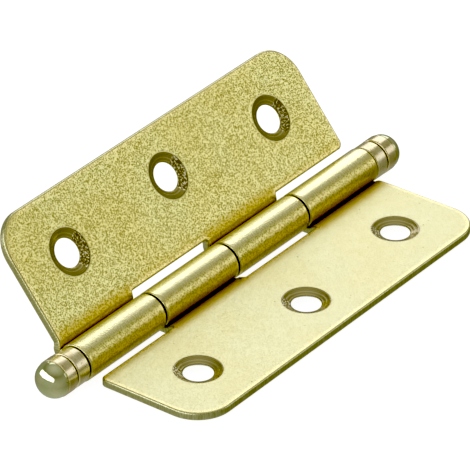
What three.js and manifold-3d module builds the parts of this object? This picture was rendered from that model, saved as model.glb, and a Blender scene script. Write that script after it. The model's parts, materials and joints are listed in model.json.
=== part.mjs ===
// A rolled steel door hinge with button tips, in millimetres, +Z up.
//
// The fixed leaf lies flat with its back face in the plane z = 0. +X points from the pin across
// that leaf, +Y runs along the pin. The origin is on the leaf's back face, half way along the
// hinge. Both leaves are the same stamping: the swing leaf is turned half a turn about Z, so
// that its two knuckles fall between the other leaf's, and is then folded up about the pin.
import * as THREE from "three";
import { mergeVertices } from "three/addons/utils/BufferGeometryUtils.js";
import Module from "manifold-3d";

const wasm = await Module();
wasm.setup();

// Sheet and leaves
const SHEET = 1.4;
const LEAF_LENGTH = 80;
const LEAF_REACH = 26.5; // pin axis to the leaf's outer edge
const OUTER_CORNER_RADIUS = 6.5;
const INNER_CORNER_RADIUS = 1.2;
const NOTCH_EDGE = 4.65; // pin axis to the leaf's edge beside the other leaf's knuckle
const FACE_DROP = 1.2; // pin axis to the leaf's countersunk face

// Knuckles, numbered 0 to 3 along +Y
const BARREL_LENGTH = 80.6;
const BARREL_RADIUS = 3.45;
const KNUCKLE_COUNT = 4;
const KNUCKLE_GAP = 0.5;
const CURL_END_DEG = -30; // where the rolled edge stops, just clear of its own leaf
const JOGGLE_END = 4.9; // pin axis to where the leaf's flat part begins
const JOGGLE_RADIUS = 1.9; // both bends of the joggle, at the middle of the sheet

// Screw holes
const HOLE_RADIUS = 2.62;
const HOLE_BACK_RADIUS = 3.3;
const COUNTERSINK_RADIUS = 4.22;
const COUNTERSINK_DEPTH = 0.7;
const END_HOLE_SPREAD = 28; // the two end holes, either side of the middle
const END_HOLE_REACH = 15.9;
const MIDDLE_HOLE_REACH = 17.4; // staggered outwards

// Pin and its end fittings
const PIN_RADIUS = 2.0;
const PIN_CHAMFER = 0.3;
const RUNNING_GAP = 0.2; // between the barrel's end and the collar
const FITTING_BORE_RADIUS = 2.05;
const COLLAR_RADIUS = 3.32;
const COLLAR_LENGTH = 3.0;
const COLLAR_CHAMFER = 0.12;
const GROOVE = 0.3; // between the collar and the button tip
const TIP_RADIUS = 3.36;
const TIP_BAND = 2.4;
const TIP_CHAMFER = 0.15;
const DOME_RADIUS = 3.26;
const DOME_HEIGHT = 2.85;
const BLIND_BORE_DEPTH = 3.0;
const BORE_END_GAP = 0.3;

// Where the parts stand
const AXIS_SETBACK = 10; // the origin to the pin axis, along X
const AXIS_HEIGHT = FACE_DROP + SHEET;
const OPENING_DEG = 129; // 0 is folded shut, 180 is flat

const ROUND_SEGMENTS = 48;
const ARC_STEP = Math.PI / 30;

const BARREL_END = BARREL_LENGTH / 2;
const COLLAR_START = BARREL_END + RUNNING_GAP;
const TIP_START = COLLAR_START + COLLAR_LENGTH + GROOVE;

const leafMetal = { color: 0xcdc088, roughness: 0.42, metalness: 1 };
const pinMetal = { color: 0xb9ae78, roughness: 0.25, metalness: 1 };
const tipMetal = { color: 0x9c9a62, roughness: 0.12, metalness: 1 };

// A closed geometry as a solid that can be joined and cut.
function toSolid(geometry) {
  const bare = geometry.clone();
  bare.deleteAttribute("normal");
  bare.deleteAttribute("uv");
  const merged = mergeVertices(bare, 1e-4);
  return new wasm.Manifold(
    new wasm.Mesh({
      numProp: 3,
      vertProperties: merged.attributes.position.array,
      triVerts: new Uint32Array(merged.index.array),
    }),
  );
}

function toGeometry(solid) {
  const mesh = solid.getMesh();
  const geometry = new THREE.BufferGeometry();
  geometry.setAttribute("position", new THREE.BufferAttribute(mesh.vertProperties, 3));
  geometry.setIndex(new THREE.BufferAttribute(mesh.triVerts, 1));
  geometry.computeVertexNormals();
  return geometry;
}

// Points along an arc, both ends included.
function arcPoints(centreX, centreY, radius, fromAngle, toAngle) {
  const steps = Math.ceil(Math.abs(toAngle - fromAngle) / ARC_STEP);
  return Array.from({ length: steps + 1 }, (_, i) => {
    const angle = fromAngle + ((toAngle - fromAngle) * i) / steps;
    return new THREE.Vector2(centreX + radius * Math.cos(angle), centreY + radius * Math.sin(angle));
  });
}

// The sheet seen along the pin, X outwards and the second coordinate up: flat leaf, a joggle
// down to the barrel's underside, then the curl round the pin that ends above the joggle.
function sheetSection() {
  const half = SHEET / 2;
  const curlMiddle = BARREL_RADIUS - half;
  const leafMiddle = FACE_DROP + half;
  const bend = Math.acos(1 - (curlMiddle - leafMiddle) / (2 * JOGGLE_RADIUS));
  const joggleStart = JOGGLE_END - 2 * JOGGLE_RADIUS * Math.sin(bend);
  const down = -Math.PI / 2;
  const up = Math.PI / 2;
  const curlEnd = THREE.MathUtils.degToRad(CURL_END_DEG) - 2 * Math.PI;
  const lower = { x: joggleStart, z: JOGGLE_RADIUS - curlMiddle };
  const upper = { x: JOGGLE_END, z: -JOGGLE_RADIUS - leafMiddle };
  const inside = JOGGLE_RADIUS - half;
  const outside = JOGGLE_RADIUS + half;
  return [
    new THREE.Vector2(LEAF_REACH + 1, -FACE_DROP),
    ...arcPoints(upper.x, upper.z, outside, up, up + bend),
    ...arcPoints(lower.x, lower.z, inside, down + bend, down).slice(1),
    ...arcPoints(0, 0, BARREL_RADIUS - SHEET, down, curlEnd),
    ...arcPoints(0, 0, BARREL_RADIUS, curlEnd, down),
    ...arcPoints(lower.x, lower.z, outside, down, down + bend),
    ...arcPoints(upper.x, upper.z, inside, up + bend, up).slice(1),
    new THREE.Vector2(LEAF_REACH + 1, -FACE_DROP - SHEET),
  ];
}

// The leaf seen from above, with a strip left standing for each of its own knuckles.
function leafOutline() {
  const end = LEAF_LENGTH / 2;
  const pitch = BARREL_LENGTH / KNUCKLE_COUNT;
  const trim = KNUCKLE_GAP / 2;
  const past = -BARREL_RADIUS - 1;
  const shape = new THREE.Shape();
  shape.moveTo(NOTCH_EDGE + INNER_CORNER_RADIUS, -end);
  shape.lineTo(LEAF_REACH - OUTER_CORNER_RADIUS, -end);
  shape.absarc(
    LEAF_REACH - OUTER_CORNER_RADIUS, OUTER_CORNER_RADIUS - end, OUTER_CORNER_RADIUS, -Math.PI / 2, 0,
  );
  shape.absarc(
    LEAF_REACH - OUTER_CORNER_RADIUS, end - OUTER_CORNER_RADIUS, OUTER_CORNER_RADIUS, 0, Math.PI / 2,
  );
  shape.lineTo(NOTCH_EDGE, end);
  shape.lineTo(NOTCH_EDGE - INNER_CORNER_RADIUS, BARREL_END);
  shape.lineTo(past, BARREL_END);
  shape.lineTo(past, pitch + trim);
  shape.lineTo(NOTCH_EDGE, pitch + trim);
  shape.lineTo(NOTCH_EDGE, -trim);
  shape.lineTo(past, -trim);
  shape.lineTo(past, trim - pitch);
  shape.lineTo(NOTCH_EDGE, trim - pitch);
  shape.lineTo(NOTCH_EDGE, INNER_CORNER_RADIUS - end);
  shape.absarc(
    NOTCH_EDGE + INNER_CORNER_RADIUS,
    INNER_CORNER_RADIUS - end,
    INNER_CORNER_RADIUS,
    Math.PI,
    1.5 * Math.PI,
  );
  return shape;
}

// What the punch takes out at a screw hole: a shallow cone, a thin rim and a break-out flare.
function screwHoleCutter(x, y) {
  const above = 1;
  const back = -FACE_DROP - SHEET;
  const profile = [
    [0, back - above],
    [HOLE_BACK_RADIUS, back - above],
    [HOLE_BACK_RADIUS, back],
    [HOLE_RADIUS, -FACE_DROP - COUNTERSINK_DEPTH],
    [COUNTERSINK_RADIUS, -FACE_DROP],
    [COUNTERSINK_RADIUS, above - FACE_DROP],
    [0, above - FACE_DROP],
  ].map(([r, z]) => new THREE.Vector2(r, z));
  const geometry = new THREE.LatheGeometry(profile, ROUND_SEGMENTS);
  geometry.rotateX(Math.PI / 2);
  geometry.translate(x, y, 0);
  return toSolid(geometry);
}

// One leaf about the pin axis, reaching along +X with its countersunk face up.
function leafSolid() {
  const longer = 2;
  const sheet = new THREE.ExtrudeGeometry(new THREE.Shape(sheetSection()), {
    depth: BARREL_LENGTH + 2 * longer,
    bevelEnabled: false,
  });
  sheet.rotateX(Math.PI / 2);
  sheet.translate(0, BARREL_END + longer, 0);
  const outline = new THREE.ExtrudeGeometry(leafOutline(), {
    depth: 4 * BARREL_RADIUS,
    bevelEnabled: false,
    curveSegments: 16,
  });
  outline.translate(0, 0, -2 * BARREL_RADIUS);
  const holes = [
    screwHoleCutter(END_HOLE_REACH, -END_HOLE_SPREAD),
    screwHoleCutter(MIDDLE_HOLE_REACH, 0),
    screwHoleCutter(END_HOLE_REACH, END_HOLE_SPREAD),
  ];
  return holes.reduce((leaf, hole) => leaf.subtract(hole), toSolid(sheet).intersect(toSolid(outline)));
}

function leaf(name) {
  const mesh = new THREE.Mesh(toGeometry(leafSolid()), new THREE.MeshStandardMaterial(leafMetal));
  mesh.name = name;
  return mesh;
}

// A piece turned about the pin. Its profile lists radius and distance along +Y.
function turned(name, profile, metal) {
  const points = profile.map(([r, y]) => new THREE.Vector2(r, y));
  const geometry = new THREE.LatheGeometry(points, ROUND_SEGMENTS);
  const mesh = new THREE.Mesh(toGeometry(toSolid(geometry)), new THREE.MeshStandardMaterial(metal));
  mesh.name = name;
  return mesh;
}

function hingePin() {
  const end = TIP_START + BLIND_BORE_DEPTH - BORE_END_GAP;
  const neck = PIN_RADIUS - PIN_CHAMFER;
  return turned("hinge_pin", [
    [0, -end],
    [neck, -end],
    [PIN_RADIUS, PIN_CHAMFER - end],
    [PIN_RADIUS, end - PIN_CHAMFER],
    [neck, end],
    [0, end],
  ], pinMetal);
}

function collar(name) {
  const end = COLLAR_START + COLLAR_LENGTH;
  const rim = COLLAR_RADIUS - COLLAR_CHAMFER;
  return turned(name, [
    [FITTING_BORE_RADIUS, COLLAR_START],
    [rim, COLLAR_START],
    [COLLAR_RADIUS, COLLAR_START + COLLAR_CHAMFER],
    [COLLAR_RADIUS, end - COLLAR_CHAMFER],
    [rim, end],
    [FITTING_BORE_RADIUS, end],
    [FITTING_BORE_RADIUS, COLLAR_START],
  ], pinMetal);
}

function buttonTip(name) {
  const shoulder = TIP_START + TIP_BAND;
  const rim = TIP_RADIUS - TIP_CHAMFER;
  const domeSteps = 8;
  const dome = Array.from({ length: domeSteps }, (_, i) => {
    const angle = (Math.PI / 2) * (i / domeSteps);
    return [DOME_RADIUS * Math.cos(angle), shoulder + DOME_HEIGHT * Math.sin(angle)];
  });
  return turned(name, [
    [0, TIP_START + BLIND_BORE_DEPTH],
    [FITTING_BORE_RADIUS, TIP_START + BLIND_BORE_DEPTH],
    [FITTING_BORE_RADIUS, TIP_START],
    [rim, TIP_START],
    [TIP_RADIUS, TIP_START + TIP_CHAMFER],
    [TIP_RADIUS, shoulder - TIP_CHAMFER],
    ...dome,
    [0, shoulder + DOME_HEIGHT],
  ], tipMetal);
}

// The swing leaf, folded up from flat to its resting opening.
function swingLeaf() {
  const mesh = leaf("swing_leaf");
  mesh.rotation.z = Math.PI;
  const fold = new THREE.Group();
  fold.rotation.y = THREE.MathUtils.degToRad(180 - OPENING_DEG);
  fold.add(mesh);
  return fold;
}

// The near end's fittings are the far end's turned half a turn about Z.
function nearEnd() {
  const end = new THREE.Group();
  end.rotation.z = Math.PI;
  end.add(collar("near_collar"), buttonTip("near_tip"));
  return end;
}

const hinge = new THREE.Group();
hinge.position.set(-AXIS_SETBACK, 0, AXIS_HEIGHT);
hinge.add(leaf("fixed_leaf"), swingLeaf(), hingePin());
hinge.add(collar("far_collar"), buttonTip("far_tip"), nearEnd());

export default hinge;
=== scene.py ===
"""A rolled steel door hinge with button tips, plated pale brass, on a plain studio floor.

Lengths are in millimetres and become metres where a mesh is made. Only the lamps' and the
floor's are in metres. Each leaf is made as a flat blank with rounded edges and countersunk
holes, which is then rolled about the pin, so the sheet keeps one thickness and its cut edges
show all the way round.
"""

import json
import math

import bmesh
import bpy
import numpy as np
from mathutils import Matrix, Vector
from mathutils.geometry import tessellate_polygon


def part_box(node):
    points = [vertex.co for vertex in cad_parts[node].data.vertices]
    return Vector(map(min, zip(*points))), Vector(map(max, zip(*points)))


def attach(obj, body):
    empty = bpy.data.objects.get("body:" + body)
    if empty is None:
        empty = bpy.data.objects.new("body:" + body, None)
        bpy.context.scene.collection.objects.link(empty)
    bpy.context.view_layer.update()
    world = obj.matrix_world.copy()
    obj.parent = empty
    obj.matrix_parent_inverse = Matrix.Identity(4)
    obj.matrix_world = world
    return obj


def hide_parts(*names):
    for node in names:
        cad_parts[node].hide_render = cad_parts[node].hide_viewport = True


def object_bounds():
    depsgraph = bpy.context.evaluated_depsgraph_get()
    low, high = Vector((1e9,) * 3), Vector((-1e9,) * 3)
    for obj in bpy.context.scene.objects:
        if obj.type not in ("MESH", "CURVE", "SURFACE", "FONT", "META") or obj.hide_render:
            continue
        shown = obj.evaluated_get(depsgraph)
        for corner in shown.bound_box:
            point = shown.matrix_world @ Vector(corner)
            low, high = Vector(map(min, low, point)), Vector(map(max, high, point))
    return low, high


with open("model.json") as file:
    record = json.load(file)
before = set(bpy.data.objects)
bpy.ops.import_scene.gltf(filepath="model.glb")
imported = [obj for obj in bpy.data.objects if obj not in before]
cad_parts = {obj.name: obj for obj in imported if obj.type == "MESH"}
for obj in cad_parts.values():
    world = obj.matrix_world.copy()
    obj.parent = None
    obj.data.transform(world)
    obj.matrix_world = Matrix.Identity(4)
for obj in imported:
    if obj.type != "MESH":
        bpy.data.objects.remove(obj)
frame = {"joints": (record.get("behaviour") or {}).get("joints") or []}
cad_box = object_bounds()

MM = 0.001
TINY = 1e-6
WHITE = (1, 1, 1, 1)
ARC_STEP = math.radians(4)
ARC_STEPS_AT_LEAST = 3
SHARP_ANGLE = math.radians(38)  # faces that meet at less than this are shaded smooth
LEAF_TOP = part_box("fixed_leaf")[1] / MM
HINGE = frame["joints"][0]
AXIS = Vector(HINGE["pos_m"]) / MM
OPENING = math.radians(-HINGE["range_deg"][0])  # 0 is folded shut, half a turn is flat

# Sheet and leaves, measured from the pin axis
SHEET = 1.4
HALF = SHEET / 2
FACE_DROP = AXIS.z - SHEET  # from the axis down to the countersunk face of a flat leaf
LEAF_LENGTH = 80.0
LEAF_REACH = LEAF_TOP.x - AXIS.x
OUTER_CORNER = 6.5
INNER_CORNER = 1.2
NOTCH_EDGE = 4.65
NOTCH_CORNER = 0.4
FACE_ROUNDING = 0.36
BACK_ROUNDING = 0.22
RIM_STEPS = 4
FACE_MARGIN = 0.7  # how far in from the rounding its bright rub and painted highlight fade out

# Knuckles
BARREL_END = LEAF_TOP.y
BARREL_RADIUS = 3.45
PITCH = BARREL_END / 2
KNUCKLE_TRIM = 0.25  # half the gap between two knuckles
CURL_END = math.radians(-30)  # 0 is straight out over the leaf, a quarter turn is up
JOGGLE_END = 4.9
JOGGLE_RADIUS = 1.9

# The middle of the sheet, followed from the flat leaf round to the end of the curl
CURL_MIDDLE = BARREL_RADIUS - HALF
LEAF_MIDDLE = FACE_DROP + HALF
BEND = math.acos(1 - (CURL_MIDDLE - LEAF_MIDDLE) / (2 * JOGGLE_RADIUS))
BEND_LENGTH = JOGGLE_RADIUS * BEND
FOOT = JOGGLE_END - 2 * JOGGLE_RADIUS * math.sin(BEND)  # where the joggle meets the barrel
CURL_START = 2 * BEND_LENGTH + FOOT
CURL_LENGTH = CURL_MIDDLE * (1.5 * math.pi - CURL_END)
BLANK_END = JOGGLE_END - CURL_START - CURL_LENGTH
ROLL_STEP = math.radians(3)

# Screw holes: reach from the pin and place along it
HOLES = ((15.9, -28.0), (17.4, 0.0), (15.9, 28.0))
HOLE_SIDES = 96
HOLE_RADIUS = 2.62
HOLE_BACK_RADIUS = 3.3
SINK_RADIUS = 4.22
SINK_DEPTH = 0.7
SINK_MARGIN = 0.35  # how far from a hole its marks fade out
BACK_LIP = 0.06
RIM_DROP = 0.12  # from the foot of the cone down to the top of the break-out flare
FOOT_DROP = 0.04
CONE_MARGIN = 0.05  # what the ridged part leaves of the cone at its foot and at the face
CREST_DROP = 0.02
LIP_DROP = 0.03
LIP_MARGIN = 0.03
RIDGES = 7  # rings left by the countersinking tool
RIDGE_HEIGHT = 0.012
SCORED_AND_SHADED_ARC = (205, 305)  # the part of each countersink that gets chatter bumps and painted shade and glints, in degrees

# Pin and end fittings
TURNED_SIDES = 160
PIN_RADIUS = 2.0
PIN_CHAMFER = 0.3
PIN_ROUNDING = 0.1
BORE_RADIUS = 2.05
BORE_ROUNDING = 0.05
COLLAR_RADIUS = 3.32
COLLAR_ROUNDING = 0.28
COLLAR_GAP = 0.1  # how much further from the barrel a collar starts than in the CAD model
TIP_RADIUS = 3.36
TIP_ROUNDING = 0.25
TIP_BAND = 2.4
BAND_DROP = 0.15  # the band stops this short of the shoulder, where the dome starts
BAND_ROUNDING = 0.08
STEP_DEPTH = 0.12  # the fine step between the band and the dome
STEP_BOTTOM = 0.08
STEP_TOP = 0.02
STEP_ROUNDING = 0.03
DOME_RADIUS = 3.26
DOME_START = 0.03  # in radians above the shoulder
DOME_STEPS = 30
BLIND_BORE = 3.0

# Camera, aimed at a point given from the middle of the pin
CAMERA_AZIMUTH = math.radians(37.05)
CAMERA_ELEVATION = math.radians(31.23)
CAMERA_DISTANCE = 834.2
CAMERA_LENS = 368.2
CAMERA_AIM = Vector((-8.0, 13.7, -4.3))
BLACK_LEVEL = (0.030, 0.035, 0.110)  # the linear levels shown as black

# Softboxes: name, direction from the hinge, distance, width, height and radiance
SOFTBOXES = (
    ("key_softbox", (-0.49, 0.68, 0.55), 1.0, 0.80, 0.66, 1.22),
    ("side_softbox", (0.62, 0.68, 0.36), 1.0, 0.60, 0.40, 0.85),
    ("front_softbox", (-0.35, -0.86, 0.37), 0.7, 1.50, 0.34, 2.2),
)

# The studio's grey levels, from straight down at 0 to straight up at 1
FRONT_LEVELS = ((0.0, 0.60), (0.25, 0.52), (0.48, 0.55), (0.65, 0.42), (0.80, 0.22), (1.0, 0.62))
BACK_LEVELS = ((0.0, 0.55), (0.25, 0.20), (0.45, 0.24), (0.62, 0.38), (0.80, 0.38), (1.0, 0.62))

# Floor
FLOOR_REACH = 6.0
FLOOR_GREYS = ((0.24, 0.24, 0.24, 1), (0.26, 0.26, 0.26, 1))
FLOOR_GLOW = 0.92


# ---------------------------------------------------------------- outlines


def rounded_outline(corners):
    """A closed outline from corners given as (x, y, radius), each rounded by an arc."""
    points = []
    for i, (x, y, radius) in enumerate(corners):
        here = Vector((x, y))
        if radius == 0:
            points.append(here)
            continue
        before = (Vector(corners[i - 1][:2]) - here).normalized()
        after = (Vector(corners[(i + 1) % len(corners)][:2]) - here).normalized()
        half = before.angle(after) / 2
        centre = here + (before + after).normalized() * radius / math.sin(half)
        first = here + before * radius / math.tan(half) - centre
        last = here + after * radius / math.tan(half) - centre
        steps = max(ARC_STEPS_AT_LEAST, math.ceil(first.angle(last) / ARC_STEP))
        points += [centre + radius * first.slerp(last, k / steps) for k in range(steps + 1)]
    return np.array([tuple(p) for p in points])


def inset(outline, distance):
    """The outline moved inwards, each point along its mitre. It runs anticlockwise."""
    along = np.roll(outline, -1, axis=0) - outline
    along /= np.linalg.norm(along, axis=1)[:, None]
    after = np.column_stack((-along[:, 1], along[:, 0]))
    before = np.roll(after, 1, axis=0)
    mitre = (before + after) / (1 + (before * after).sum(axis=1))[:, None]
    return outline + distance * mitre


def leaf_outline():
    """The flat blank: the leaf, and a strip for each of its two knuckles."""
    end = LEAF_LENGTH / 2
    far_strip = PITCH + KNUCKLE_TRIM
    near_strip = KNUCKLE_TRIM - PITCH
    return rounded_outline([
        (NOTCH_EDGE, -end, INNER_CORNER),
        (LEAF_REACH, -end, OUTER_CORNER),
        (LEAF_REACH, end, OUTER_CORNER),
        (NOTCH_EDGE, end, 0),
        (NOTCH_EDGE - INNER_CORNER, BARREL_END, 0),
        (BLANK_END, BARREL_END, 0),
        (BLANK_END, far_strip, 0),
        (NOTCH_EDGE, far_strip, NOTCH_CORNER),
        (NOTCH_EDGE, -KNUCKLE_TRIM, NOTCH_CORNER),
        (BLANK_END, -KNUCKLE_TRIM, 0),
        (BLANK_END, near_strip, 0),
        (NOTCH_EDGE, near_strip, NOTCH_CORNER),
    ])


def circle(x, y, radius):
    angles = np.linspace(0, 2 * math.pi, HOLE_SIDES, endpoint=False)
    return np.column_stack((x + radius * np.cos(angles), y + radius * np.sin(angles)))


# ---------------------------------------------------------------- leaves

LEAF_MARKS = ("edge", "wall", "sink", "ring", "scored_and_shaded")


def add_ring(bm, points, height, **marks):
    """A ring of vertices at one height, marked with what the material has to know there."""
    verts = [bm.verts.new((x, y, height)) for x, y in points]
    for name, value in marks.items():
        layer = bm.verts.layers.float[name]
        for vert in verts:
            vert[layer] = value
    return verts


def bridge(bm, rings):
    """A band of faces between each ring and the next."""
    for low, high in zip(rings, rings[1:]):
        for i in range(len(low)):
            j = (i + 1) % len(low)
            bm.faces.new((low[i], low[j], high[j], high[i]))


def cap(bm, loops):
    """Flat faces between the first loop and the others, which are holes in it."""
    verts = [vert for loop in loops for vert in loop]
    for corner in tessellate_polygon([[vert.co for vert in loop] for loop in loops]):
        bm.faces.new([verts[i] for i in corner])


def rim_rings(bm, outline):
    """The cut edge of the blank from its back to its face, with both corners rounded."""
    turns = np.linspace(0, math.pi / 2, RIM_STEPS + 1)
    rings = [add_ring(bm, inset(outline, BACK_ROUNDING + FACE_MARGIN), -HALF)]
    for turn in turns:
        line = inset(outline, BACK_ROUNDING * (1 - math.sin(turn)))
        height = BACK_ROUNDING * (1 - math.cos(turn)) - HALF
        rings.append(add_ring(bm, line, height, edge=math.cos(turn), wall=math.sin(turn)))
    for turn in turns:
        line = inset(outline, FACE_ROUNDING * (1 - math.cos(turn)))
        height = HALF - FACE_ROUNDING * (1 - math.sin(turn))
        rings.append(add_ring(bm, line, height, edge=math.sin(turn), wall=math.cos(turn)))
    rings.append(add_ring(bm, inset(outline, FACE_ROUNDING + FACE_MARGIN), HALF))
    return rings


def hole_rings(bm, x, y):
    """One screw hole from the back to the face: the break-out flare, then the ridged cone."""
    foot = HOLE_RADIUS + CONE_MARGIN
    floor = HALF - SINK_DEPTH
    flare = [
        add_ring(bm, circle(x, y, HOLE_BACK_RADIUS + SINK_MARGIN), -HALF),
        add_ring(bm, circle(x, y, HOLE_BACK_RADIUS + BACK_LIP), -HALF, edge=0.5, wall=0.5),
        add_ring(bm, circle(x, y, HOLE_BACK_RADIUS), BACK_LIP - HALF, wall=1),
        add_ring(bm, circle(x, y, HOLE_RADIUS), floor - RIM_DROP, wall=1),
        add_ring(bm, circle(x, y, HOLE_RADIUS), floor - FOOT_DROP, wall=0.6, sink=0.4),
    ]
    cone = [add_ring(bm, circle(x, y, foot), floor, edge=1, sink=1, ring=HOLE_RADIUS)]
    for k in range(1, 2 * RIDGES):
        share = k / (2 * RIDGES)
        radius = foot + share * (SINK_RADIUS - CONE_MARGIN - foot)
        height = floor + share * (SINK_DEPTH - CREST_DROP) + (RIDGE_HEIGHT if k % 2 else 0)
        cone.append(add_ring(bm, circle(x, y, radius), height, sink=1, ring=radius))
    crest = circle(x, y, SINK_RADIUS - CONE_MARGIN)
    cone.append(add_ring(bm, crest, HALF - LIP_DROP, wall=0.6, sink=1, ring=SINK_RADIUS))
    lip = circle(x, y, SINK_RADIUS + LIP_MARGIN)
    outer = SINK_RADIUS + SINK_MARGIN
    face = [
        add_ring(bm, lip, HALF, wall=0.6, sink=0.5, ring=SINK_RADIUS),
        add_ring(bm, circle(x, y, outer), HALF, ring=outer),
    ]
    scored_and_shaded = bm.verts.layers.float["scored_and_shaded"]
    for verts in cone:
        for i, vert in enumerate(verts):
            vert[scored_and_shaded] = SCORED_AND_SHADED_ARC[0] < 360 * i / HOLE_SIDES < SCORED_AND_SHADED_ARC[1]
    return flare + cone + face


def cut_for_rolling(bm):
    """Splits the blank wherever it is going to bend, across its whole length."""
    bends = math.ceil(BEND / ROLL_STEP)
    turns = math.ceil(CURL_LENGTH / CURL_MIDDLE / ROLL_STEP)
    cuts = [
        *np.linspace(0, BEND_LENGTH, bends + 1),
        *np.linspace(BEND_LENGTH, 2 * BEND_LENGTH, bends + 1)[1:],
        *np.linspace(CURL_START, CURL_START + CURL_LENGTH, turns + 1)[:-1],
    ]
    for cut in cuts:
        bmesh.ops.bisect_plane(
            bm,
            geom=bm.verts[:] + bm.edges[:] + bm.faces[:],
            plane_co=(JOGGLE_END - cut, 0, 0),
            plane_no=(1, 0, 0),
            dist=TINY,
        )


def rolled(blank):
    """Where the points (out, along, up from the sheet's middle) of the blank go when it is
    rolled: x out from the pin axis, y along it, z up with the countersunk face on top."""
    out, along, up = blank.T
    s = JOGGLE_END - out  # along the sheet from where it starts to bend
    upper = math.pi / 2 + s / JOGGLE_RADIUS
    lower = BEND - math.pi / 2 - (s - BEND_LENGTH) / JOGGLE_RADIUS
    curl = -math.pi / 2 - (s - CURL_START) / CURL_MIDDLE
    stretches = [s <= 0, s <= BEND_LENGTH, s <= 2 * BEND_LENGTH, s <= CURL_START]
    x = np.select(
        stretches,
        [
            out,
            JOGGLE_END + (JOGGLE_RADIUS + up) * np.cos(upper),
            FOOT + (JOGGLE_RADIUS - up) * np.cos(lower),
            FOOT - (s - 2 * BEND_LENGTH),
        ],
        (CURL_MIDDLE - up) * np.cos(curl),
    )
    z = np.select(
        stretches,
        [
            up - LEAF_MIDDLE,
            (JOGGLE_RADIUS + up) * np.sin(upper) - JOGGLE_RADIUS - LEAF_MIDDLE,
            (JOGGLE_RADIUS - up) * np.sin(lower) + JOGGLE_RADIUS - CURL_MIDDLE,
            up - CURL_MIDDLE,
        ],
        (CURL_MIDDLE - up) * np.sin(curl),
    )
    return np.column_stack((x, along, z))


def leaf_mesh(name, turn, grain_offset):
    """A leaf rolled about the pin and turned into place. Each point keeps its place on the flat
    blank, for the material, and its height above the pin axis as the hinge stands at rest.
    grain_offset moves the surface marks along, so that the two leaves don't wear alike."""
    bm = bmesh.new()
    for mark in LEAF_MARKS:
        bm.verts.layers.float.new(mark)
    rim = rim_rings(bm, leaf_outline())
    holes = [hole_rings(bm, x, y) for x, y in HOLES]
    for rings in (rim, *holes):
        bridge(bm, rings)
    cap(bm, [rim[0], *(rings[0] for rings in holes)])
    cap(bm, [rim[-1], *(rings[-1] for rings in holes)])
    cut_for_rolling(bm)
    bmesh.ops.recalc_face_normals(bm, faces=bm.faces)
    mesh = bpy.data.meshes.new(name)
    bm.to_mesh(mesh)
    bm.free()
    blank = np.empty(3 * len(mesh.vertices))
    mesh.vertices.foreach_get("co", blank)
    blank = blank.reshape(-1, 3)
    place = turn @ Matrix.Scale(MM, 4)
    placed = rolled(blank) @ np.array(place.to_3x3()).T + np.array(AXIS * MM)
    mesh.vertices.foreach_set("co", placed.ravel())
    height = mesh.attributes.new("height", "FLOAT", "POINT")
    height.data.foreach_set("value", (placed[:, 2] / MM - AXIS.z) / BARREL_RADIUS)
    flat = mesh.attributes.new("blank", "FLOAT_VECTOR", "POINT")
    flat.data.foreach_set("vector", (blank + (0, grain_offset, 0)).ravel())
    return mesh


# ---------------------------------------------------------------- turned pieces


def turned_mesh(name, corners, turn):
    """A solid turned about the pin from corners (radius, along, rounding), the last joined to
    the first."""
    bm = bmesh.new()
    for mark in ("along", "reach"):
        bm.verts.layers.float.new(mark)
    along_mark = bm.verts.layers.float["along"]
    reach_mark = bm.verts.layers.float["reach"]
    angles = np.linspace(0, 2 * math.pi, TURNED_SIDES, endpoint=False)
    rings = []
    for radius, along in rounded_outline(corners):
        around = angles if radius > TINY else angles[:1]  # one point where it meets the axis
        ring = [
            bm.verts.new((radius * math.sin(a), along, radius * math.cos(a))) for a in around
        ]
        for vert in ring:
            vert[along_mark] = along
            vert[reach_mark] = radius
        rings.append(ring)
    for low, high in zip(rings, rings[1:] + rings[:1]):
        for i in range(TURNED_SIDES):
            j = (i + 1) % TURNED_SIDES
            lower = [low[i % len(low)], low[j % len(low)]]
            upper = [high[j % len(high)], high[i % len(high)]]
            face = list(dict.fromkeys(lower + upper))
            if len(face) > 2:
                bm.faces.new(face)
    bmesh.ops.recalc_face_normals(bm, faces=bm.faces)
    mesh = bpy.data.meshes.new(name)
    bm.to_mesh(mesh)
    bm.free()
    mesh.transform(Matrix.Translation(AXIS * MM) @ turn @ Matrix.Scale(MM, 4))
    return mesh


def pin_profile():
    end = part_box("hinge_pin")[1].y / MM
    neck = PIN_RADIUS - PIN_CHAMFER
    return [
        (0, -end, 0),
        (neck, -end, 0),
        (PIN_RADIUS, PIN_CHAMFER - end, PIN_ROUNDING),
        (PIN_RADIUS, end - PIN_CHAMFER, PIN_ROUNDING),
        (neck, end, 0),
        (0, end, 0),
    ]


def collar_profile():
    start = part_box("far_collar")[0].y / MM + COLLAR_GAP
    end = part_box("far_collar")[1].y / MM
    return [
        (BORE_RADIUS, start, BORE_ROUNDING),
        (COLLAR_RADIUS, start, COLLAR_ROUNDING),
        (COLLAR_RADIUS, end, COLLAR_ROUNDING),
        (BORE_RADIUS, end, BORE_ROUNDING),
    ]


def tip_profile():
    """The button tip: a blind bore, a band with rounded rims, a fine step, then the dome."""
    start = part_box("far_tip")[0].y / MM
    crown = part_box("far_tip")[1].y / MM
    shoulder = start + TIP_BAND
    dome = [
        (DOME_RADIUS * math.cos(a), shoulder + (crown - shoulder) * math.sin(a), 0)
        for a in np.linspace(DOME_START, math.pi / 2, DOME_STEPS + 1)[:-1]
    ]
    return [
        (0, start + BLIND_BORE, 0),
        (BORE_RADIUS, start + BLIND_BORE, 0),
        (BORE_RADIUS, start, BORE_ROUNDING),
        (TIP_RADIUS, start, TIP_ROUNDING),
        (TIP_RADIUS, shoulder - BAND_DROP, BAND_ROUNDING),
        (DOME_RADIUS - STEP_DEPTH, shoulder - STEP_BOTTOM, STEP_ROUNDING),
        (DOME_RADIUS - STEP_DEPTH, shoulder + STEP_TOP, STEP_ROUNDING),
        *dome,
        (0, crown, 0),
    ]
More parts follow.
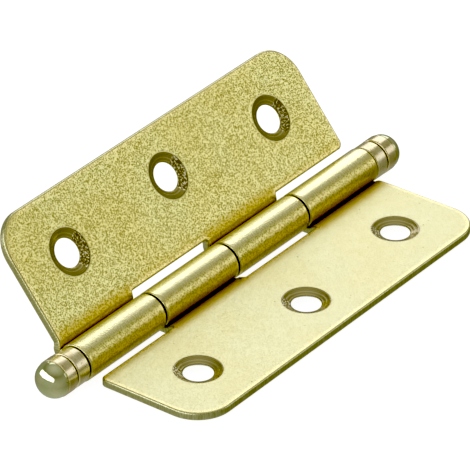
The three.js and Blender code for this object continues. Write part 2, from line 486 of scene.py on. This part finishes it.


# ---------------------------------------------------------------- materials

# Sheet: the leaves' plating, then the barrel's, with a painted highlight on its top and painted
# shade underneath
FINE_PALE = (0.65, 0.64, 0.42, 1)
FINE_DEEP = (0.65, 0.62, 0.38, 1)
GRAINY_PALE = (0.86, 0.84, 0.45, 1)
GRAINY_DEEP = (0.86, 0.79, 0.39, 1)
BARREL_GOLD = (0.82, 0.73, 0.38, 1)
BARREL_OLIVE = (0.77, 0.71, 0.36, 1)
# painted highlight: the barrel's top is painted paler
BARREL_PAINTED_HIGHLIGHT = (0.90, 0.86, 0.56, 1)
# painted shade: the barrel's underside is painted browner and darker
BARREL_UNDERSIDE_SHADE = (0.70, 0.52, 0.17, 1)

# Sheet: what darkens or brightens the plating in places, as real marks, painted shade and painted
# highlight
GRAIN_BROWN = (0.22, 0.16, 0.02, 1)
MOTTLE_BROWN = (0.5, 0.40, 0.08, 1)
# painted shade where the sheet dips beside its own knuckles
JOGGLE_PAINTED_SHADE = (0.42, 0.27, 0.02, 1)
SPECK_BROWN = (0.16, 0.11, 0.03, 1)
# paler edges: partly rubbed plating, partly painted highlight
EDGE_RUB_AND_HIGHLIGHT = (0.94, 0.82, 0.46, 1)

# Sheet: cut metal, the dark and pale of each
SHEARED = ((0.34, 0.34, 0.24, 1), (0.56, 0.58, 0.42, 1))
COUNTERSUNK = ((0.22, 0.18, 0.12, 1), (0.58, 0.51, 0.36, 1))
# painted shade with painted glints on one side of each countersink
ARC_SHADE_AND_GLINT = ((0.14, 0.10, 0.05, 1), (1.0, 0.95, 0.75, 1))

# Turned pieces, the dark and pale of each
PIN_STEEL = ((0.52, 0.46, 0.26, 1), (0.66, 0.60, 0.38, 1))
FITTING_STEEL = ((0.68, 0.60, 0.42, 1), (0.86, 0.79, 0.60, 1))
TIP_STEEL = ((0.68, 0.59, 0.42, 1), (0.82, 0.74, 0.56, 1))
# the dome's darker, greener tone is a painted reflection of its dim surroundings
DOME_PAINTED_REFLECTION = (0.55, 0.60, 0.42, 1)
LINE_BROWN = (0.3, 0.25, 0.1, 1)
PIT_BROWN = (0.12, 0.10, 0.04, 1)

# Where the sheet's colours change, in millimetres out from the pin axis on the flat blank
BARREL_FADE = (4.4, 2.8)
# the two joggle fades bound the painted shade beside the knuckles
JOGGLE_OUTER_FADE = (7.2, 4.8)
JOGGLE_INNER_FADE = (1.0, 3.5)
KNUCKLE_FADE = (9.2, 11.0)  # this one along the pin, from the middle of a notch

# Where the barrel's painted shade underneath and painted highlight on top fade, as a height above
# the axis over the barrel's radius
UNDERSIDE_SHADE_FADE = (0.67, 0.2)
PAINTED_HIGHLIGHT_FADE = (0.72, 0.92)


class Shader:
    """A material's node tree, with short names for the nodes that are used here."""

    def __init__(self, name):
        self.material = bpy.data.materials.new(name)
        self.material.use_nodes = True
        self.tree = self.material.node_tree
        self.surface = self.tree.nodes["Principled BSDF"]

    def node(self, kind, inputs, **settings):
        node = self.tree.nodes.new(kind)
        for name, value in settings.items():
            setattr(node, name, value)
        for key, value in inputs.items():
            self.set(node.inputs[key], value)
        return node

    def set(self, socket, value):
        if isinstance(value, bpy.types.NodeSocket):
            self.tree.links.new(value, socket)
        else:
            socket.default_value = value

    def math(self, operation, a, b=0.0, clamp=False):
        node = self.node("ShaderNodeMath", {0: a, 1: b}, operation=operation, use_clamp=clamp)
        return node.outputs[0]

    def ramp(self, value, low, high, to_low=0.0, to_high=1.0):
        """value from low to high becomes to_low to to_high, smoothly, and stays there outside."""
        inputs = {
            "Value": value,
            "From Min": low,
            "From Max": high,
            "To Min": to_low,
            "To Max": to_high,
        }
        node = self.node("ShaderNodeMapRange", inputs, interpolation_type="SMOOTHSTEP")
        return node.outputs[0]

    def patches(self, noise, to_low=0.0, to_high=1.0):
        """The range that a noise mostly keeps to becomes to_low to to_high."""
        return self.ramp(noise, 0.35, 0.65, to_low, to_high)

    def mix(self, share, a, b):
        """Colour a, turning into colour b as share goes to 1."""
        return self.node("ShaderNodeMix", {0: share, 6: a, 7: b}, data_type="RGBA").outputs[2]

    def blend(self, share, a, b):
        """Number a, turning into number b as share goes to 1."""
        return self.node("ShaderNodeMix", {0: share, 2: a, 3: b}).outputs[0]

    def noise(self, place, scale, detail=2.0, roughness=0.5):
        inputs = {"Vector": place, "Scale": scale, "Detail": detail, "Roughness": roughness}
        return self.node("ShaderNodeTexNoise", inputs).outputs["Fac"]

    def grains(self, place, scale):
        """Packed grains, low in the middle of each and high between them, in uneven tones."""
        node = self.node("ShaderNodeTexVoronoi", {"Vector": place, "Scale": scale})
        tone = self.node("ShaderNodeSeparateColor", {0: node.outputs["Color"]}).outputs[0]
        return self.blend(0.35, self.ramp(node.outputs["Distance"], 0.1, 0.7), tone)

    def product(self, a, b):
        return self.math("MULTIPLY", a, b)

    def stretched(self, place, factors):
        node = self.node("ShaderNodeVectorMath", {0: place, 1: factors}, operation="MULTIPLY")
        return node.outputs[0]

    def mark(self, name):
        return self.node("ShaderNodeAttribute", {}, attribute_name=name).outputs["Fac"]

    def bump(self, height, distance, normal=None):
        """height is from 0 to 1, and distance what 1 stands up, in millimetres."""
        inputs = {"Height": height, "Distance": distance * MM, "Strength": 1.0}
        if normal is not None:
            inputs["Normal"] = normal
        return self.node("ShaderNodeBump", inputs).outputs[0]

    def finish(self, colour, roughness, normal):
        self.set(self.surface.inputs["Base Color"], colour)
        self.set(self.surface.inputs["Roughness"], roughness)
        self.set(self.surface.inputs["Normal"], normal)
        return self.material


def plated_sheet(name, pale, deep, grain_share, grain_depth, chatter_depth):
    """Brass plating on rolled sheet: satin grain, uneven tint from pale to deep, a painted
    highlight on the barrel's top and painted shade under it, painted shade beside the knuckles,
    edges paler from rub and painted highlight, turned rings and a scored part painted with shade
    and glints in each countersink, and dull sheared edges. The depths are in millimetres."""
    s = Shader(name)
    s.surface.inputs["Metallic"].default_value = 1.0
    s.surface.inputs["Coat Weight"].default_value = 0.4
    s.surface.inputs["Coat Roughness"].default_value = 0.35
    place = s.node("ShaderNodeAttribute", {}, attribute_name="blank").outputs["Vector"]
    parts = s.node("ShaderNodeSeparateXYZ", {0: place})
    out = parts.outputs[0]
    edge = s.mark("edge")
    wall = s.mark("wall")
    sink = s.mark("sink")
    ring = s.mark("ring")
    scored_and_shaded = s.mark("scored_and_shaded")
    height = s.mark("height")
    barrel = s.ramp(out, *BARREL_FADE)
    from_notch = s.math("PINGPONG", s.math("SUBTRACT", parts.outputs[1], PITCH / 2), PITCH)
    # painted shade where the sheet dips beside its own knuckles
    joggle = s.product(s.ramp(out, *JOGGLE_OUTER_FADE), s.ramp(out, *JOGGLE_INNER_FADE))
    joggle_shade = s.product(s.ramp(from_notch, *KNUCKLE_FADE, 0.35, 0.65), joggle)
    # painted shade under the barrel and painted highlight on its top, by height above the axis
    underside_shade = s.product(s.ramp(height, *UNDERSIDE_SHADE_FADE), barrel)
    painted_highlight = s.product(s.ramp(height, *PAINTED_HIGHLIGHT_FADE), barrel)

    grain = s.ramp(s.grains(place, 4.0), 0.15, 0.90)
    mottle = s.noise(place, 0.5, 3.0, 0.55)
    tint = s.noise(place, 0.07, 3.0, 0.5)
    film = s.noise(s.stretched(place, (0.16, 0.05, 0.1)), 1.0, 2.0)
    round_marks = s.noise(s.stretched(place, (0.12, 11.0, 1.0)), 1.0, 3.0, 0.6)
    specks = s.ramp(s.noise(place, 1.3, 1.0), 0.72, 0.78)
    shear = s.noise(s.stretched(place, (5.0, 5.0, 0.6)), 1.0, 2.0)
    turnings = s.noise(s.node("ShaderNodeCombineXYZ", {0: ring}).outputs[0], 4.0, 2.0)
    chatter = s.noise(s.stretched(place, (3.0, 3.0, 0.5)), 1.0, 3.0, 0.7)

    brass = s.mix(s.patches(tint), deep, pale)
    gold = s.mix(s.ramp(film, 0.4, 0.62), BARREL_GOLD, BARREL_OLIVE)
    # painted highlight on the barrel's top
    gold = s.mix(painted_highlight, gold, BARREL_PAINTED_HIGHLIGHT)
    colour = s.mix(barrel, brass, gold)
    # painted shade on the barrel's underside
    colour = s.mix(s.product(underside_shade, 0.75), colour, BARREL_UNDERSIDE_SHADE)
    # less grain on the barrel's top, which adds to its painted highlight
    strength = s.blend(barrel, grain_share, s.blend(painted_highlight, 0.7, 0.1))
    coarse = s.product(s.math("SUBTRACT", 1.0, grain), strength)
    colour = s.mix(coarse, colour, GRAIN_BROWN)
    colour = s.mix(s.patches(mottle, 0.06, 0.0), colour, MOTTLE_BROWN)
    # painted shade beside the knuckles
    colour = s.mix(joggle_shade, colour, JOGGLE_PAINTED_SHADE)
    colour = s.mix(s.product(specks, 0.5), colour, SPECK_BROWN)
    # edges paler from rub and painted highlight
    colour = s.mix(s.product(edge, 0.5), colour, EDGE_RUB_AND_HIGHLIGHT)
    dull = s.mix(s.ramp(shear, 0.3, 0.7), *SHEARED)
    colour = s.mix(s.product(wall, 0.85), colour, dull)
    turned = s.mix(s.ramp(turnings, 0.38, 0.62), *COUNTERSUNK)
    colour = s.mix(s.product(sink, 0.9), colour, turned)
    # painted shade with painted glints on one side of each countersink; its bumps are tool
    # chatter
    arc_shade_and_glint = s.mix(s.ramp(chatter, 0.48, 0.60), *ARC_SHADE_AND_GLINT)
    colour = s.mix(s.product(scored_and_shaded, 0.85), colour, arc_shade_and_glint)

    satin = s.ramp(grain, 0.0, 1.0, 0.42, 0.30)
    polish = s.ramp(round_marks, 0.3, 0.7, 0.28, 0.22)
    roughness = s.blend(painted_highlight, satin, polish)
    roughness = s.blend(sink, roughness, 0.13)
    roughness = s.math("SUBTRACT", roughness, s.product(edge, 0.08))

    outside_sinks = s.math("SUBTRACT", 1.0, sink, clamp=True)
    normal = s.bump(s.product(grain, outside_sinks), grain_depth)
    normal = s.bump(mottle, 0.012, normal)
    normal = s.bump(s.product(round_marks, barrel), 0.003, normal)
    normal = s.bump(s.product(chatter, scored_and_shaded), chatter_depth, normal)
    normal = s.bump(s.product(turnings, sink), 0.035, normal)
    return s.finish(colour, roughness, normal)


def turned_metal(name, dark, light, roughness_low, roughness_high, line_depth, dome=None):
    """Bright turned steel: fine lines round it, a faint uneven film and small dark pits.
    dome is the darker, greener colour painted on a polished dome past the tip's shoulder, a
    painted reflection of its dim surroundings."""
    s = Shader(name)
    s.surface.inputs["Metallic"].default_value = 1.0
    s.surface.inputs["Coat Weight"].default_value = 0.2
    s.surface.inputs["Coat Roughness"].default_value = 0.1
    place = s.node("ShaderNodeTexCoord", {}).outputs["Object"]
    along = s.mark("along")
    rings = s.node("ShaderNodeCombineXYZ", {0: along, 1: s.mark("reach")}).outputs[0]
    lines = s.noise(rings, 9.0, 3.0, 0.6)
    film = s.noise(place, 350.0, 3.0, 0.6)
    pits = s.ramp(s.noise(place, 1600.0, 2.0), 0.64, 0.74)
    colour = s.mix(s.patches(film), dark, light)
    colour = s.mix(s.patches(lines, 0.25, 0.0), colour, LINE_BROWN)
    colour = s.mix(s.product(pits, 0.5), colour, PIT_BROWN)
    unevenness = s.math("ADD", s.product(lines, 0.6), s.product(film, 0.4))
    roughness = s.patches(unevenness, roughness_low, roughness_high)
    normal = s.bump(film, 0.010, s.bump(lines, line_depth))
    if dome:
        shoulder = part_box("far_tip")[0].y / MM + TIP_BAND
        past = s.ramp(along, shoulder - 0.06, shoulder + 0.02)
        # painted reflection: the dome past the shoulder is darker and greener
        colour = s.mix(past, colour, s.mix(s.patches(film, 0.0, 0.35), dome, light))
        roughness = s.blend(past, roughness, s.patches(film, 0.06, 0.11))
    return s.finish(colour, roughness, normal)


# ---------------------------------------------------------------- pieces


def add_piece(mesh, material, body, slot, *nodes):
    """Shows a mesh in place of CAD nodes. It rides on their body."""
    mesh.materials.append(material)
    mesh.polygons.foreach_set("use_smooth", [True] * len(mesh.polygons))
    mesh.set_sharp_from_angle(angle=SHARP_ANGLE)
    piece = bpy.data.objects.new(mesh.name, mesh)
    bpy.context.scene.collection.objects.link(piece)
    shading = piece.modifiers.new("even_shading", "WEIGHTED_NORMAL")
    shading.keep_sharp = True
    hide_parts(*nodes)
    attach(piece, body)


def add_leaves():
    fine = plated_sheet("fine_plating", FINE_PALE, FINE_DEEP, 0.07, 0.006, 0.10)
    grainy = plated_sheet("grainy_plating", GRAINY_PALE, GRAINY_DEEP, 0.84, 0.012, 0.40)
    raised = Matrix.Rotation(math.pi - OPENING, 4, "Y") @ Matrix.Rotation(math.pi, 4, "Z")
    fixed = leaf_mesh("fixed_leaf_plate", Matrix.Identity(4), 0)
    swing = leaf_mesh("swing_leaf_plate", raised, 8 * PITCH)
    add_piece(fixed, fine, "fixed", "leaf_plating", "fixed_leaf")
    add_piece(swing, grainy, "swing", "leaf_plating", "swing_leaf")


def add_pin_and_fittings():
    steel = turned_metal("pin_steel", *PIN_STEEL, 0.22, 0.34, 0.006)
    fitting = turned_metal("turned_fitting", *FITTING_STEEL, 0.18, 0.30, 0.006)
    polished = turned_metal("polished_tip", *TIP_STEEL, 0.14, 0.24, 0.003, DOME_PAINTED_REFLECTION)
    straight = Matrix.Identity(4)
    turned = Matrix.Rotation(math.pi, 4, "Z")
    pin = turned_mesh("pin_rod", pin_profile(), straight)
    add_piece(pin, steel, "fixed", "pin_steel", "hinge_pin")
    for end, turn in (("near", turned), ("far", straight)):
        collar = turned_mesh(end + "_collar_ring", collar_profile(), turn)
        add_piece(collar, fitting, "fixed", "turned_fitting", end + "_collar")
        tip = turned_mesh(end + "_button_tip", tip_profile(), turn)
        add_piece(tip, polished, "fixed", "polished_tip", end + "_tip")


# ---------------------------------------------------------------- camera, lights and floor


def add_camera():
    data = bpy.data.cameras.new("camera")
    data.sensor_width = 36
    data.lens = CAMERA_LENS
    data.clip_start = 0.05
    data.clip_end = 20
    camera = bpy.data.objects.new("camera", data)
    back = Vector((
        math.sin(CAMERA_AZIMUTH) * math.cos(CAMERA_ELEVATION),
        -math.cos(CAMERA_AZIMUTH) * math.cos(CAMERA_ELEVATION),
        math.sin(CAMERA_ELEVATION),
    ))
    camera.location = (AXIS + CAMERA_AIM + back * CAMERA_DISTANCE) * MM
    camera.rotation_euler = (-back).to_track_quat("-Z", "Y").to_euler()
    bpy.context.scene.collection.objects.link(camera)
    bpy.context.scene.camera = camera


def add_softbox(name, direction, distance, width, height, radiance):
    """A rectangular lamp facing the hinge, as bright as radiance where it is reflected."""
    data = bpy.data.lights.new(name, "AREA")
    data.shape = "RECTANGLE"
    data.size = width
    data.size_y = height
    data.energy = radiance * math.pi * width * height
    lamp = bpy.data.objects.new(name, data)
    towards = Vector(direction).normalized()
    lamp.location = towards * distance
    lamp.rotation_euler = towards.to_track_quat("Z", "Y").to_euler()
    lamp.visible_camera = False
    bpy.context.scene.collection.objects.link(lamp)


def add_lights():
    for softbox in SOFTBOXES:
        add_softbox(*softbox)


def shade_by_height(world, height, stops):
    """Grey levels at stops given as (height, level)."""
    ramp = world.nodes.new("ShaderNodeValToRGB")
    for position, level in stops[1:-1]:
        ramp.color_ramp.elements.new(position)
    for element, (position, level) in zip(ramp.color_ramp.elements, stops):
        element.position = position
        element.color = (level, level, level, 1)
    world.links.new(height, ramp.inputs[0])
    return ramp.outputs[0]


def share_of(world, value):
    """A direction's part along one axis, from -1 to 1, as a share from 0 to 1."""
    share = world.nodes.new("ShaderNodeMapRange")
    share.inputs["From Min"].default_value = -1
    world.links.new(value, share.inputs["Value"])
    return share.outputs[0]


def mix_levels(world, share, low, high):
    """Colour low, turning into colour high as share goes to 1."""
    mix = world.nodes.new("ShaderNodeMix")
    mix.data_type = "RGBA"
    world.links.new(share, mix.inputs[0])
    for socket, value in ((mix.inputs[6], low), (mix.inputs[7], high)):
        if isinstance(value, tuple):
            socket.default_value = value
        else:
            world.links.new(value, socket)
    return mix.outputs[2]


def add_surroundings():
    """A grey studio, paler in front than behind, and plain white where the camera sees it."""
    studio = bpy.data.worlds.new("studio")
    studio.use_nodes = True
    bpy.context.scene.world = studio
    world = studio.node_tree
    direction = world.nodes.new("ShaderNodeTexCoord")
    split = world.nodes.new("ShaderNodeSeparateXYZ")
    world.links.new(direction.outputs["Generated"], split.inputs[0])
    height = share_of(world, split.outputs[2])
    front = shade_by_height(world, height, FRONT_LEVELS)
    back = shade_by_height(world, height, BACK_LEVELS)
    walls = mix_levels(world, share_of(world, split.outputs[1]), front, back)
    path = world.nodes.new("ShaderNodeLightPath")
    seen = mix_levels(world, path.outputs["Is Camera Ray"], walls, WHITE)
    world.links.new(seen, world.nodes["Background"].inputs[0])


def floor_material():
    """Matt white, lit from within a little so that the shadows on it stay faint."""
    s = Shader("white_floor")
    grain = s.noise(s.node("ShaderNodeTexCoord", {}).outputs["Object"], 60.0)
    s.set(s.surface.inputs["Base Color"], s.mix(grain, *FLOOR_GREYS))
    s.surface.inputs["Roughness"].default_value = 0.9
    s.surface.inputs["Specular IOR Level"].default_value = 0.0
    s.surface.inputs["Emission Color"].default_value = WHITE
    s.surface.inputs["Emission Strength"].default_value = FLOOR_GLOW
    return s.material


def add_floor():
    level = cad_box[0].z
    signs = ((-1, -1), (1, -1), (1, 1), (-1, 1))
    corners = [(FLOOR_REACH * x, FLOOR_REACH * y, level) for x, y in signs]
    mesh = bpy.data.meshes.new("floor")
    mesh.from_pydata(corners, [], [(0, 1, 2, 3)])
    mesh.materials.append(floor_material())
    floor = bpy.data.objects.new("floor", mesh)
    floor.visible_glossy = False
    bpy.context.scene.collection.objects.link(floor)


def set_contrast():
    """Plain colours, with the darkest tones taken down to black and so made warmer."""
    view = bpy.context.scene.view_settings
    view.view_transform = "Standard"
    view.use_curve_mapping = True
    view.curve_mapping.black_level = BLACK_LEVEL
    view.curve_mapping.update()


set_contrast()
add_camera()
add_leaves()
add_pin_and_fittings()
add_surroundings()
add_lights()
add_floor()
